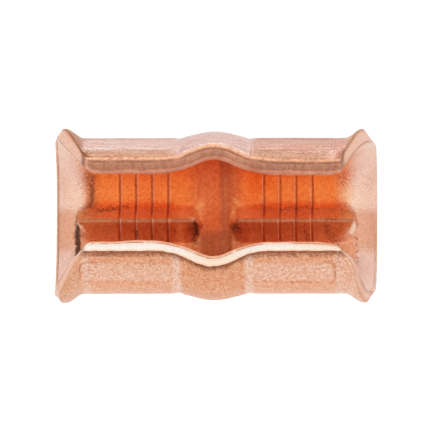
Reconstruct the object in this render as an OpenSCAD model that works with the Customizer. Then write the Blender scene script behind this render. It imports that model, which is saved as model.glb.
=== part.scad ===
// C-tap connector: one piece of copper sheet folded into a C, lying on its back with the mouth up.
// The conductors run along X, side by side in Y, and go in through the mouth from above.
// The origin is on the resting surface, under the middle of the connector.

/* [Sheet] */
// Thickness of the copper sheet
sheet_t = 1.6; // [1.2:0.1:2]
// Length from end to end
overall_l = 30; // [28:0.5:40]

/* [Lobes] */
// Inner radius of the lobe that each conductor lies in
lobe_r = 4.3; // [3.9:0.1:5]
// Distance between the centres of the two lobes
lobe_spacing = 2.8; // [2.4:0.1:3.6]

/* [Mouth] */
// Gap between the lips along the crimp zones
mouth_w = 6.5; // [5.5:0.1:7.5]
// How much farther each lip is cut back at the middle
lip_wave = 1.3; // [0.6:0.1:1.6]
// Length over which each lip stands back
lip_wave_l = 10.6; // [7:0.1:14]
// Slant of a lip's cut edge above the horizontal, in degrees
lip_slant = 48; // [40:1:60]
// How far each end of a lip stops short of the connector's end
lip_setback = 2.9; // [1.5:0.1:4]

/* [Bulge] */
// How far the middle bulge stands out
bulge_h = 0.63; // [0.3:0.01:0.8]
// Length of the bulge
bulge_l = 6.2; // [5:0.1:8]
// Radius of the crease at the foot of the bulge
bulge_root_r = 1; // [0.5:0.1:2]

/* [Flared ends] */
// How far each end flares out
flare_h = 0.85; // [0.7:0.01:1.2]
// Angle that the sheet has turned through at the rim
flare_angle = 32; // [25:1:40]

/* [Ridges] */
// Height of a ridge above the bottom of the lobes
ridge_h = 2.3; // [1.5:0.1:2.8]
// Width of a ridge at its foot
ridge_w = 3.1; // [2.4:0.1:3.6]
// Radius of a ridge's crest
ridge_crest_r = 0.25; // [0.15:0.05:0.4]
// Gap between the crests of the two ridges
ridge_gap = 4.4; // [3:0.1:7]
// How far a crest stops short of the connector's end
ridge_setback = 2; // [1.6:0.1:4]
// How far a ridge's foot draws in from the ends of its crest
ridge_hip = 1.2; // [0.4:0.1:2]

/* [Serrations] */
// Number of grooves across each crimp zone
serration_n = 4; // [1:1:5]
// Distance from the middle of the connector to the first groove
serration_start = 4.4; // [3.6:0.1:5]
// Distance from one groove to the next
serration_pitch = 1.5; // [0.8:0.1:1.6]
// Width of a groove
serration_w = 0.4; // [0.2:0.05:0.6]
// Depth of a groove
serration_d = 0.25; // [0.1:0.05:0.4]

/* [Hidden] */
$fn = 96;
// Straight steps that stand for each bend of the sheet, and for the wave of a lip
bend_steps = 6;
lip_wave_steps = 24;
// Sides of the slim round bars in the ridges' crests
crest_sides = 24;
// How far cuts run past the surface that they open
over = 1;
// Thickness of the plate that gives a ridge its outline at the foot
plate_t = 0.1;

outer_r = lobe_r + sheet_t;
lobe_y = lobe_spacing / 2;
lobe_z = outer_r + flare_h;
floor_z = lobe_z - lobe_r;
end_x = overall_l / 2;

// The rim's arc, measured on the outer face, bends away from the lobe
flare_r = flare_h / (1 - cos(flare_angle));
flare_x = end_x - (flare_r + sheet_t) * sin(flare_angle);

// The bulge is a round crown between two creases, all measured on the outer face
bulge_arc_sum = (pow(bulge_l / 2, 2) + pow(bulge_h, 2)) / (2 * bulge_h);
bulge_crown_r = bulge_arc_sum - bulge_root_r;
bulge_angle = asin(bulge_l / 2 / bulge_arc_sum);

// The inner and outer corners of a lip's edge, along the crimp zones
lip_angle = acos((mouth_w / 2 - lobe_y) / lobe_r);
lip_z = lobe_z + lobe_r * sin(lip_angle);
lip_top_z = lip_z + sheet_t * sin(lip_slant);
// The walls are swept a little past the lips, for the mouth's cut to trim
trim_angle = 14;
wall_sweep = 90 + lip_angle + trim_angle;

// A ridge's crest runs from x0 to x1, and its foot is sunk to the middle of the sheet
ridge_x0 = ridge_gap / 2;
ridge_x1 = end_x - ridge_setback;
ridge_root = sheet_t / 2;
// Flank's run for each unit of height
ridge_flank = (ridge_w / 2 - ridge_crest_r) / (ridge_h - ridge_crest_r);
ridge_foot = ridge_w / 2 + ridge_flank * ridge_root;
// The fold's underside runs parallel to the flanks, one sheet thickness below
fold_d = ridge_h + sheet_t - sheet_t * sqrt(1 + 1 / pow(ridge_flank, 2));
fold_r = ridge_crest_r / 2;

// Points on an arc about [along, out], at angles from the outward direction
function bend(along, out, r, from, to) = [
  for (i = [0 : bend_steps])
    let (a = from + (to - from) * i / bend_steps)
      [out + r * cos(a), along + r * sin(a)]
];

// One face of the sheet from the middle to an end, at a depth below the outer face
function half_face(depth) = concat(
  bend(0, outer_r + bulge_h - bulge_crown_r, bulge_crown_r - depth, 0, bulge_angle),
  bend(bulge_l / 2, outer_r + bulge_root_r, bulge_root_r + depth, 180 + bulge_angle, 180),
  bend(flare_x, outer_r + flare_r, flare_r + depth, 180, 180 - flare_angle)
);

function reversed(points) = [for (i = [len(points) - 1 : -1 : 0]) points[i]];

// The other half of a face, from its end up to the middle point, which it leaves out
function other_half(half) = [for (i = [len(half) - 1 : -1 : 1]) [half[i][0], -half[i][1]]];
function whole_face(depth) = concat(other_half(half_face(depth)), half_face(depth));

// The sheet cut along the connector: distance from the lobe's axis against place along X
module sheet_profile() {
  polygon(concat(whole_face(0), reversed(whole_face(sheet_t))));
}

// One side of the C, from the bottom of its lobe up past the lip
module side_wall() {
  translate([0, lobe_y, lobe_z])
    rotate([0, 90, 0])
      rotate_extrude(angle = wall_sweep)
        sheet_profile();
}

// The flat strip of sheet between the bottoms of the two lobes
module floor_strip() {
  translate([0, lobe_y, lobe_z])
    rotate([0, 90, 0])
      rotate([90, 0, 0])
        linear_extrude(lobe_spacing)
          sheet_profile();
}

// Outline with pointed ends, seen from above
module boat(x0, x1, half_w) {
  polygon([
    [x0 - ridge_hip / 2, 0],
    [x0 + ridge_hip, half_w],
    [x1 - ridge_hip, half_w],
    [x1 + ridge_hip / 2, 0],
    [x1 - ridge_hip, -half_w],
    [x0 + ridge_hip, -half_w]
  ]);
}

// A thin plate under a hull, so that the hull has this outline at its foot
module foot_plate(x0, x1, half_w) {
  linear_extrude(plate_t)
    boat(x0, x1, half_w);
}

// A thin round bar along X
module crest_bar(x0, x1, r) {
  translate([x0, 0, 0])
    rotate([0, 90, 0])
      cylinder(r = r, h = x1 - x0, $fn = crest_sides);
}

// A ridge along the floor, between the two conductors
module ridge() {
  hull() {
    translate([0, 0, floor_z + ridge_h - ridge_crest_r])
      crest_bar(ridge_x0, ridge_x1, ridge_crest_r);
    translate([0, 0, floor_z - ridge_root])
      foot_plate(ridge_x0, ridge_x1, ridge_foot);
  }
}

// The valley that the fold leaves in the underside, opposite a ridge
module fold_valley() {
  x0 = ridge_x0 + ridge_hip;
  x1 = ridge_x1 - ridge_hip;
  translate([0, 0, lobe_z - outer_r])
    hull() {
      translate([0, 0, fold_d - fold_r])
        crest_bar(x0, x1, fold_r);
      translate([0, 0, -over])
        foot_plate(x0, x1, (fold_d + over) * ridge_flank);
    }
}

// Round-bottomed section of the space inside, widened by a margin
module lobes_section(margin) {
  for (side = [-1, 1])
    translate([side * lobe_y, 0])
      circle(lobe_r + margin);
  square([lobe_spacing, 2 * (lobe_r + margin)], center = true);
}

// Section of one groove: the lobes deepened, and a notch in the ridge's crest
module serration_section() {
  difference() {
    translate([0, lobe_z])
      lobes_section(serration_d);
    translate([0, floor_z])
      polygon([
        [-ridge_foot, -ridge_root - serration_d],
        [ridge_foot, -ridge_root - serration_d],
        [0, ridge_h - serration_d]
      ]);
  }
}

module serration() {
  rotate([90, 0, 90])
    linear_extrude(serration_w, center = true)
      serration_section();
}

// A lip's edge seen square to its slant: place along X against how far the lip stands back
function lip_edge(x) =
  abs(x) < lip_wave_l / 2 ? lip_wave * sin(lip_slant) * (1 + cos(360 * x / lip_wave_l)) / 2 : 0;

module mouth_outline() {
  polygon(concat(
    [[-end_x - over, -lobe_r], [-end_x - over, 0]],
    [for (i = [0 : lip_wave_steps]) let (x = lip_wave_l * (i / lip_wave_steps - 0.5)) [x, lip_edge(x)]],
    [[end_x + over, 0], [end_x + over, -lobe_r]]
  ));
}

// Trims one wall to its lip
module lip_cut() {
  translate([0, mouth_w / 2, lip_z])
    rotate([lip_slant - 90, 0, 0])
      translate([0, 0, -over])
        linear_extrude(sheet_t + bulge_h + flare_h + 3 * over)
          mouth_outline();
}

// Slants an end back from the level of the lobes' centres to the lips, and on past the trimmed walls
module end_slant() {
  top_z = lobe_z + outer_r + flare_h + over;
  top_setback = lip_setback * (top_z - lobe_z) / (lip_top_z - lobe_z);
  rotate([90, 0, 0])
    linear_extrude(2 * (lobe_y + outer_r + flare_h + over), center = true)
      polygon([
        [end_x, lobe_z],
        [end_x + over, lobe_z],
        [end_x + over, top_z],
        [end_x - top_setback, top_z]
      ]);
}

module connector_body() {
  color("#c9764f")
    difference() {
      union() {
        side_wall();
        mirror([0, 1, 0]) side_wall();
        floor_strip();
        ridge();
        mirror([1, 0, 0]) ridge();
      }
      for (end = [0, 1])
        mirror([end, 0, 0]) {
          fold_valley();
          end_slant();
          for (i = [0 : serration_n - 1])
            translate([serration_start + i * serration_pitch, 0, 0])
              serration();
        }
      for (side = [0, 1])
        mirror([0, side, 0])
          lip_cut();
    }
}

connector_body();
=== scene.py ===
import math
from types import SimpleNamespace

import bpy
from mathutils import Matrix, Vector, noise


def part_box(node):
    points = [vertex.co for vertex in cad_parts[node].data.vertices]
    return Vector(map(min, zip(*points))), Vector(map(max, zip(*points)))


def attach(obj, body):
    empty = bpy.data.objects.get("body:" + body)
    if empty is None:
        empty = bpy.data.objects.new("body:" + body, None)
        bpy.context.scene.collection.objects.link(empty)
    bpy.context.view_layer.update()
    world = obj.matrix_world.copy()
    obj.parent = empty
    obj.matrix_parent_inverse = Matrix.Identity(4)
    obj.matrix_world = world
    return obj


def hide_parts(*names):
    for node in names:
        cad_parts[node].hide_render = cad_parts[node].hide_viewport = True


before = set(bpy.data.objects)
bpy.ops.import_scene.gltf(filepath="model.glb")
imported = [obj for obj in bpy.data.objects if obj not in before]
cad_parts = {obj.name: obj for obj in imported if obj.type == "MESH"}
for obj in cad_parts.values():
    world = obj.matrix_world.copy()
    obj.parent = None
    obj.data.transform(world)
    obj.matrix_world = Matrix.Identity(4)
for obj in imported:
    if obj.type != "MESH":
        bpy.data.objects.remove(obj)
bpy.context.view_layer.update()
mm = 0.001
deg = math.radians(1)
print("frame loaded:", sorted(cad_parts))

# the folded strip, lying on its back with the mouth up
connector = {
    "node": "connector_body",
    "sheet": 1.6 * mm,
    "lobeRadius": 4.3 * mm,          # inside of each lobe
    "lobeSpacing": 2.8 * mm,         # between the lobe centres
    "mouth": 6.5 * mm,               # between the lips, along the crimp zones
    "lipWave": 1.3 * mm,             # each lip is cut back this much at the middle
    "lipWaveLength": 10.6 * mm,
    "waveSlant": 48 * deg,           # the lips stand back square to this
    # slant of each cut edge above the horizontal, along the crimp zones and in the middle
    "nearLipSlant": (45 * deg, 38.5 * deg),
    "farLipSlant": (31 * deg, 31 * deg),
    "farLipReach": 0.26 * mm,        # the far lip comes a little farther
    # lip's end from the middle, at the -X and +X ends
    "lipEnd": (11.85 * mm, 11.8 * mm),
    # height on the wall where a corner's clip starts, near and far, at the -X and +X ends
    "clipStart": ((14 * deg, 4 * deg), (2 * deg, -26 * deg)),
    "clipEase": (0.2, 0.35),         # near and far
    # the near +X clip is bent: height on the wall, reach and shift
    "clipBends": [
        (47 * deg, 10 * deg, 0.45 * mm),
        (6 * deg, 23 * deg, -0.6 * mm),
    ],
    "lipTip": 0.3 * mm,              # a lip's ends are rounded off
    "tipZone": (-0.6 * mm, 0.1 * mm),
    "farTip": 0.3,                   # the far +X one less than the others
    # inner corner of each clip is rolled over, near and far, at the -X and +X ends
    "roll": ((0.42, 0.5), (0.34, 0.22)),
    "rollReach": 0.75 * mm,
    "rollZone": (0.85, 1.1),         # shares of the way up to the widest place
    "nearTrim": 0.12 * mm,           # the near corners are a little shorter
    "lipDroop": 0.22 * mm,           # the far lip leans into the mouth at +X
    "droopZone": (3 * mm, 7 * mm),
    "lipFall": 0.4 * mm,             # and the near one tapers there
    "fallZone": (9.4 * mm, 11.9 * mm),
    # the near lip is thicker in one crimp zone: place, reach and rise
    "lipSwell": (-6.5 * mm, 2.5 * mm, 0.2 * mm),
    "lipWobble": 0.035 * mm,         # unevenness of the cut
    "lipWobbles": [(2.3 * mm, 3.7, 1.0), (0.7 * mm, 9.1, 0.5)],  # size, seed and share
    "wallWobble": (3.1 * mm, 4.3, 0.025 * mm),   # size, seed and rise
    "lipZone": 0.75,                 # a lip's slant comes in over the last part of the wall
    "bulgeRise": 0.59 * mm,
    "bulgeLength": 6.2 * mm,
    "bulgeSharp": 0.7,               # from a round arc, 0, to a wave, 1
    "bulgeRunout": 1.12,             # the wave is this much longer
    "arcFoot": 0.3,                  # share of the arc over which its slope runs out
    "flareRise": 0.85 * mm,
    "flareAngle": 49 * deg,
    "flareShoulder": (12.15 * mm, 13.72 * mm),   # the outside rises between these
    # the rim's face stands steeper, most at the near +X corner
    "rimUpright": (0.15 * mm, 0.24 * mm),
    "uprightRun": 0.5 * mm,          # from this far into the flare
    "rimSheet": 1.2 * mm,            # the flares are drawn thinner
    "thinRun": 0.9 * mm,             # from this far before the flare
    # outside, at the foot of the bulge: place, reach and depth
    "crease": (3.27 * mm, 0.32 * mm, 0.09 * mm),
    # inside, where the flaring tool stopped: place, reach and rise
    "flareCrease": (13.05 * mm, 1.3 * mm, 0.07 * mm),
    "sideGap": 0.01 * mm,            # kept clear of the solid's box
    "topGap": 0.006 * mm,
    "edgeRound": 0.17 * mm,
    "edgeSegments": 2,
    "edgeAngle": 50 * deg,
    "edgeSkip": 0.1 * mm,            # the rounding's own lines lie within this
    "rimCuts": 12,                   # extra lines along the cut edge
}
ridge = {
    "height": 2.3 * mm,
    "halfWidth": 1.55 * mm,          # at the foot
    "innerFoot": 1.38 * mm,          # ends nearest the middle
    "innerCrest": 1.9 * mm,
    "innerHip": 2.75 * mm,           # the foot has its full width from here
    "outerHip": 11.6 * mm,
    "outerCrest": 12.95 * mm,
    "outerFoot": 13.15 * mm,
    "crestFlat": 0.1 * mm,           # half of the narrow top
    "crestRound": 0.08 * mm,
    "footRound": 0.25 * mm,
    "farFootRound": 1.5 * mm,        # the far side runs out softly into its lobe
    "noseFootCut": 0.55,             # less so at the inner end
    "noseFootZone": (5.0 * mm, 2.8 * mm),
    "endWidth": 0.02,                # least share of the width, squared, at the ends
    "fold": (3.1 * mm, 12.1 * mm),   # valley in the underside, opposite a ridge
    "foldDepth": 0.91 * mm,
    "foldTaper": 0.6 * mm,           # at each end
    "foldFlank": 0.63,               # run for each unit of depth
    "curlRise": 0.13 * mm,           # torn curls at the inner ends
    "curlWidth": 0.09 * mm,
    "curls": [                       # x and y in mm
        [(-2.4, 0.40), (-1.95, 0.2), (-1.72, -0.05), (-1.64, -0.36)],
        [(1.42, -0.42), (1.6, -0.1), (2.1, 0.06), (2.35, 0.2)],
    ],
}
serration = {
    "count": 4,
    "first": 4.47 * mm,              # from the middle
    "pitch": 1.5 * mm,
    "width": 0.26 * mm,
    "depth": 0.08 * mm,
    "flank": 0.05 * mm,              # width of each sloping side
    "hold": 0.03 * mm,               # lines that keep the edges crisp
    "burr": 0.02 * mm,
    "run": 0.1 * mm,                 # first line beside a groove
    "fade": (0.2 * mm, 0.6 * mm),    # they run out below the lips
    "face": 0.98,                    # share of the sheet from which they are cut
}
# bare pressed panel on each outer wall of each crimp zone
panel = {
    "near": 3.75 * mm,               # from the middle
    "far": (12.3 * mm, 11.3 * mm),   # at the -X and the +X end
    "low": 23 * deg,                 # above the horizontal
    "high": 48 * deg,
    "corner": 0.7 * mm,
    "depth": 0.08 * mm,
    "edge": 0.16 * mm,
}
# spacing of the blank's lines
lines = {
    "bulgeStep": 0.14 * mm,
    "bulgeRun": 0.5 * mm,            # past the bulge's foot
    "landStep": 0.22 * mm,           # between the grooves
    "endStep": 0.21 * mm,
    "noseStep": 0.075 * mm,
    "noseZone": (12.45 * mm, 13.1 * mm),
    "ridgeStep": 0.085 * mm,
    "ridgeZone": 1.9 * mm,           # half-width kept straight for the ridge
    "ridgeMargin": 0.5 * mm,
    "wallStep": 0.24 * mm,
    "panelStep": 0.14 * mm,
    "panelZone": (10.9 * mm, 14.0 * mm),
    "straightEnd": 9.6 * mm,         # past this, lines close up to follow the clipped corners
    "rimGap": 0.4 * mm,              # first line in from the rim, clear of the rounding
}

cadLow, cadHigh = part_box(connector["node"])
sheet = connector["sheet"]
endX = (cadHigh.x - cadLow.x) / 2
innerR = connector["lobeRadius"]
outerR = innerR + sheet
midR = outerR - sheet / 2
lobeY = connector["lobeSpacing"] / 2
lobeZ = outerR + connector["flareRise"]
flareR = connector["flareRise"] / (1 - math.cos(connector["flareAngle"]))
flareX = endX - (flareR + connector["rimSheet"]) * math.sin(connector["flareAngle"])
flareMidR = flareR + sheet / 2
blankEnd = flareX + flareMidR * connector["flareAngle"]
halfBulge = connector["bulgeLength"] / 2
lipZ = math.sqrt(innerR ** 2 - (connector["mouth"] / 2 - lobeY) ** 2)  # above the lobe centres


def smoothMax(a, b, blend):
    h = max(blend - abs(a - b), 0) / blend
    return max(a, b) + h * h * blend / 4


def smoothStep(a, b, x):
    t = min(max((x - a) / (b - a), 0), 1)
    return t * t * (3 - 2 * t)


# 1 at a place, falling away over a reach
def hump(value, at, reach, power=2):
    return math.exp(-(abs(value - at) / reach) ** power)


def wobble(a, b, size, seed):
    return noise.noise(Vector((a / size, b / size, seed)))


# how far the bulge stands out, and its slope
def bulgeRise(p):
    sharp = connector["bulgeSharp"]
    reach = halfBulge * connector["bulgeRunout"]
    arc = max(1 - (p / halfBulge) ** 2, 0)
    arcSlope = -2 * p / halfBulge ** 2 * smoothStep(0, connector["arcFoot"], arc)
    wave = (1 + math.cos(math.pi * p / reach)) / 2
    waveSlope = -math.sin(math.pi * p / reach) * math.pi / reach / 2
    rise = connector["bulgeRise"]
    height = rise * ((1 - sharp) * arc + sharp * wave)
    return height, rise * ((1 - sharp) * arcSlope + sharp * waveSlope)


# place along X and distance from the lobe's axis, for a height above the blank's outer face
def alongProfile(p, height):
    side = math.copysign(1, p)
    p = abs(p)
    depthShare = height / sheet
    drawnShare = smoothStep(flareX - connector["thinRun"], blankEnd, p)
    height *= 1 - (1 - connector["rimSheet"] / sheet) * drawnShare
    if p < halfBulge * connector["bulgeRunout"]:
        rise, slope = bulgeRise(p)
        turn = math.atan(slope)
        x = p + height * math.sin(turn)
        r = outerR + rise - height * math.cos(turn)
    elif p < flareX:
        x = p
        r = outerR - height
    else:
        turn = (p - flareX) / flareMidR
        x = flareX + (flareR + height) * math.sin(turn)
        r = outerR + flareR - (flareR + height) * math.cos(turn)
        outX = flareX + flareR * math.sin(turn)
        shoulder = connector["flareRise"] * smoothStep(*connector["flareShoulder"], outX)
        r += max(shoulder - flareR * (1 - math.cos(turn)), 0) * (1 - depthShare)
    at, reach, rise = connector["flareCrease"]
    r -= rise * max(1 - abs(x - at) / reach, 0) * height / sheet
    return side * x, r


# angle above the horizontal at which a lip ends, on a face of radius r
def lipAngle(p, r, side):
    wave = 0.0
    if abs(p) < connector["lipWaveLength"] / 2:
        wave = (1 + math.cos(2 * math.pi * p / connector["lipWaveLength"])) / 2
    zoneSlant, middleSlant = connector["farLipSlant" if side > 0 else "nearLipSlant"]
    slant = zoneSlant + (middleSlant - zoneSlant) * wave
    back = connector["lipWave"] * math.sin(connector["waveSlant"]) * wave
    y = connector["mouth"] / 2 - lobeY + back * math.sin(connector["waveSlant"])
    z = lipZ - back * math.cos(connector["waveSlant"])
    ahead = y * math.cos(slant) + z * math.sin(slant)
    run = -ahead + math.sqrt(max(ahead ** 2 - (y * y + z * z - r * r), 0))
    uneven = sum(share * wobble(p, 0, size, side * seed) for size, seed, share in connector["lipWobbles"])
    reach = connector["lipWobble"] * uneven
    inward = min(max((outerR - r) / sheet, 0), 1)
    if side > 0:
        reach += connector["farLipReach"] + connector["lipDroop"] * smoothStep(*connector["droopZone"], p)
    else:
        reach -= connector["lipFall"] * inward * smoothStep(*connector["fallZone"], p)
        at, swellReach, swell = connector["lipSwell"]
        reach += swell * inward * hump(p, at, swellReach)
    past = abs(p) - connector["lipEnd"][p > 0]
    tip = connector["lipTip"] * smoothStep(*connector["tipZone"], past) ** 2
    reach -= tip * inward * (connector["farTip"] if side > 0 and p > 0 else 1)
    return math.atan2(z + run * math.sin(slant), y + run * math.cos(slant)) + reach / midR


# place across the blank that is pressed to an angle above the horizontal
def acrossSection(angle):
    return lobeY + (math.pi / 2 + angle) * midR


def lipLine(p, side):
    r = alongProfile(p, sheet)[1]
    return acrossSection(lipAngle(p, r, side))


# places across the blank: the widest, and the lips' inner corners
wideS = acrossSection(0)
lipS = acrossSection(math.acos((connector["mouth"] / 2 - lobeY) / innerR))


# distance from a lip's edge, on the flat blank
def lipGap(flat):
    return lipLine(flat.x, math.copysign(1, flat.y)) - abs(flat.y)


# end of the blank at a place across it: square over the floor, clipped towards the lips
def endLine(s, end):
    turn = math.asin((connector["lipEnd"][end > 0] - flareX) / flareMidR)
    lipEnd = flareX + flareMidR * turn
    clipS = acrossSection(connector["clipStart"][end > 0][s > 0])
    reach = max(abs(s) - clipS, 0) / (lipS - clipS)
    start = connector["clipEase"][s > 0]
    eased = reach - start / 2 if reach > start else reach * reach / (2 * start)
    trim = connector["nearTrim"] * smoothStep(-wideS * 0.5, -wideS, s)
    line = blankEnd - trim - (blankEnd - trim - lipEnd) * eased / (1 - start / 2)
    if end > 0 and s < -lobeY:
        angle = (-s - lobeY) / midR - math.pi / 2
        for at, width, shift in connector["clipBends"]:
            line += shift * hump(angle, at, width)
    return line


# even steps from a start, short of the end
def spread(start, end, step):
    count = max(round((end - start) / step), 1)
    return [start + (end - start) * i / count for i in range(count)]


# lines along half of the blank, from the middle to the end
def halfLines():
    g = serration
    at = halfBulge + lines["bulgeRun"]
    stations = spread(0, at, lines["bulgeStep"])
    edge = g["width"] / 2
    reach = edge + g["run"]
    for i in range(g["count"]):
        centre = g["first"] + i * g["pitch"]
        stations += spread(at, centre - reach, lines["landStep"])
        wall = edge - g["flank"]
        hold = g["hold"]
        offsets = (-reach, -edge - hold, -edge, -wall, -wall + hold, 0, wall - hold, wall, edge, edge + hold)
        stations += [centre + d for d in offsets]
        at = centre + reach
    noseStart, noseEnd = lines["noseZone"]
    stations += spread(at, lines["straightEnd"], lines["landStep"])
    stations += spread(lines["straightEnd"], noseStart, lines["endStep"])
    stations += spread(noseStart, noseEnd, lines["noseStep"])
    stations += spread(noseEnd, blankEnd - lines["rimGap"], lines["endStep"])
    return stations + [blankEnd - lines["rimGap"], blankEnd]


# lines across half of the blank, from the floor's middle to the lip
def crossLines():
    zone = lines["ridgeZone"]
    panelStart, panelEnd = lines["panelZone"]
    stations = spread(0, zone, lines["ridgeStep"])
    stations += spread(zone, panelStart, lines["wallStep"])
    stations += spread(panelStart, panelEnd, lines["panelStep"])
    stations += spread(panelEnd, lipS - lines["rimGap"], lines["wallStep"])
    return stations + [lipS - lines["rimGap"], lipS]


def bothHalves(half):
    return [-v for v in reversed(half[1:])] + half


# the place on the flat blank of the crossing of two lines
def onBlank(p, s):
    straight = lines["straightEnd"]
    zone = lines["ridgeZone"]
    if abs(p) > straight:
        share = (abs(p) - straight) / (blankEnd - straight)
        p = math.copysign(straight + share * (endLine(s, p) - straight), p)
    if abs(s) > zone:
        side = math.copysign(1, s)
        share = (abs(s) - zone) / (lipS - zone)
        s = side * (zone + share * (lipLine(p, side) - zone))
    return p, s


# height of a ridge above the floor's level, below zero outside its foot
def ridgeHeight(x, y):
    g = ridge
    x = abs(x)
    crest = g["height"]
    width = g["halfWidth"]
    if x < g["innerHip"]:
        share = (g["innerHip"] - x) / (g["innerHip"] - g["innerFoot"])
        width *= math.sqrt(max(1 - share * share, g["endWidth"]))
        crest *= min((x - g["innerFoot"]) / (g["innerCrest"] - g["innerFoot"]), 1)
    if x > g["outerHip"]:
        share = (x - g["outerHip"]) / (g["outerFoot"] - g["outerHip"])
        width *= math.sqrt(max(1 - share * share, g["endWidth"]))
        crest *= min((g["outerFoot"] - x) / (g["outerFoot"] - g["outerCrest"]), 1)
    away = math.hypot(max(abs(y) - g["crestFlat"], 0), g["crestRound"]) - g["crestRound"]
    return crest - g["height"] * away / (width - g["crestFlat"])


# depth of the valley that the fold leaves under a ridge, below zero outside it
def foldRise(x, y):
    g = ridge
    start, end = g["fold"]
    share = min((abs(x) - start) / g["foldTaper"], (end - abs(x)) / g["foldTaper"], 1)
    return g["foldDepth"] * share - abs(y) / g["foldFlank"]


# distance from a line of points, all in mm
def fromLine(x, y, points):
    best = math.inf
    for a, b in zip(points, points[1:]):
        run = Vector((b[0] - a[0], b[1] - a[1]))
        there = Vector((x - a[0], y - a[1]))
        share = min(max(there.dot(run) / run.length_squared, 0), 1)
        best = min(best, (there - run * share).length)
    return best


# distance outside a panel's outline, below zero inside it
def panelDistance(x, angle):
    g = panel
    far = g["far"][x > 0]
    u = abs(abs(x) - (g["near"] + far) / 2) - (far - g["near"]) / 2 + g["corner"]
    v = (abs(angle - (g["low"] + g["high"]) / 2) - (g["high"] - g["low"]) / 2) * outerR + g["corner"]
    return math.hypot(max(u, 0), max(v, 0)) + min(max(u, v), 0) - g["corner"]


# where a point of the blank, at a height above its outer face, ends up
def pressed(p, s, height):
    depthShare = height / sheet
    side = math.copysign(1, s)
    gap = max(1 - max(endLine(s, p) - abs(p), 0) / connector["rollReach"], 0)
    clipped = smoothStep(*connector["rollZone"], abs(s) / wideS)
    height *= 1 - connector["roll"][p > 0][s > 0] * clipped * gap * gap
    x, r = alongProfile(p, height)
    upright = connector["rimUpright"][p > 0 and s < 0]
    upright *= smoothStep(flareX + connector["uprightRun"], blankEnd, abs(p))
    x += math.copysign(upright, p) * (1 - depthShare)
    at, reach, dip = connector["crease"]
    r -= dip * hump(abs(x), at, reach) * (1 - depthShare)
    size, seed, rise = connector["wallWobble"]
    r += rise * wobble(p, s, size, seed)
    r = min(r, outerR + connector["flareRise"] - connector["sideGap"])
    if abs(s) <= lobeY:
        y = s
        z = lobeZ - r
    else:
        along = abs(s) - lobeY
        rimShare = smoothStep(connector["lipZone"], 1.0, along / (lipLine(p, side) - lobeY))
        angle = along / midR - math.pi / 2
        innerEnd, outerEnd = (lipAngle(p, alongProfile(p, face)[1], side) for face in (sheet, 0))
        angle -= (innerEnd - outerEnd) * rimShare * (1 - depthShare)
        sunk = panel["depth"] * smoothStep(panel["edge"] / 2, -panel["edge"] / 2, panelDistance(x, angle))
        r -= sunk * (1 - depthShare)
        y = side * (lobeY + r * math.cos(angle))
        z = lobeZ + r * math.sin(angle)
    z = min(z, cadHigh.z - connector["topGap"])
    if abs(y) < lines["ridgeZone"] + lines["ridgeMargin"] and z < lobeZ:
        top = lobeZ - innerR + ridgeHeight(x, y)
        for curl in ridge["curls"]:
            top += ridge["curlRise"] * hump(fromLine(x / mm, y / mm, curl) * mm, 0, ridge["curlWidth"])
        foot = ridge["footRound"]
        if y > 0:
            cutBack = ridge["noseFootCut"] * smoothStep(*ridge["noseFootZone"], abs(x))
            foot = ridge["farFootRound"] * (1 - cutBack)
        under = smoothMax(z, lobeZ - outerR + foldRise(x, y), ridge["footRound"])
        z += (smoothMax(z, top, foot) - z) * depthShare + (under - z) * (1 - depthShare)
    return Vector((x, y, z))


def setActive(piece):
    bpy.ops.object.select_all(action="DESELECT")
    piece.select_set(True)
    bpy.context.view_layer.objects.active = piece


def applyModifier(piece, name, kind, **settings):
    modifier = piece.modifiers.new(name, kind)
    for key, value in settings.items():
        setattr(modifier, key, value)
    setActive(piece)
    bpy.ops.object.modifier_apply(modifier=name)


# more lines along the middle of the cut edge
def divideRim(piece):
    skip = connector["edgeSkip"]
    low = connector["edgeRound"] * 1.01
    high = sheet - low
    bpy.ops.object.mode_set(mode="EDIT")
    bpy.context.tool_settings.mesh_select_mode = (False, True, False)
    bpy.ops.mesh.select_all(action="DESELECT")
    bpy.ops.object.mode_set(mode="OBJECT")
    points = piece.data.vertices
    for edge in piece.data.edges:
        ends = sorted(points[i].co.z for i in edge.vertices)
        edge.select = skip < ends[0] < low and high < ends[1] < sheet - skip
    bpy.ops.object.mode_set(mode="EDIT")
    bpy.ops.mesh.subdivide(number_cuts=connector["rimCuts"])
    bpy.ops.object.mode_set(mode="OBJECT")


# the sheared edge, with a burr along each corner and a groove beside it
rimShape = {
    # height above the outer face, reach and rise, all in mm
    "burrs": [(0.1, 0.09, 0.055), (1.5, 0.09, 0.04)],
    "farGroove": (0.3, 0.08, 0.055),
    "nearGroove": (1.33, 0.07, 0.05),
    "crown": 0.05,
    "endCrown": 0.08,
    "clipRound": 0.16,               # the clipped corners are rounded over
    "nearClipShare": 0.35,           # the near ones less
    "nearClipSlant": 0.25,           # and they are cut at a slant
    "slantZone": (0.2, 0.6),         # shares of the way up to the lip
    "endZone": (11.8, 12.6),
    "clipZone": (0.8, 1.1),          # shares of the way up to the widest place
    "breaks": (0.75, 0.9, 0.7),      # of the burrs: least, change and size
    "grain": [(0.42, 0.02), (0.15, 0.014)],      # size and rise
    "inset": 0.05,
    "margin": 0.02,                  # left alone beside each face
    "upright": 0.05,                 # least lean of a normal towards the rim
    "leastBurr": 0.1,
}


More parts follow.
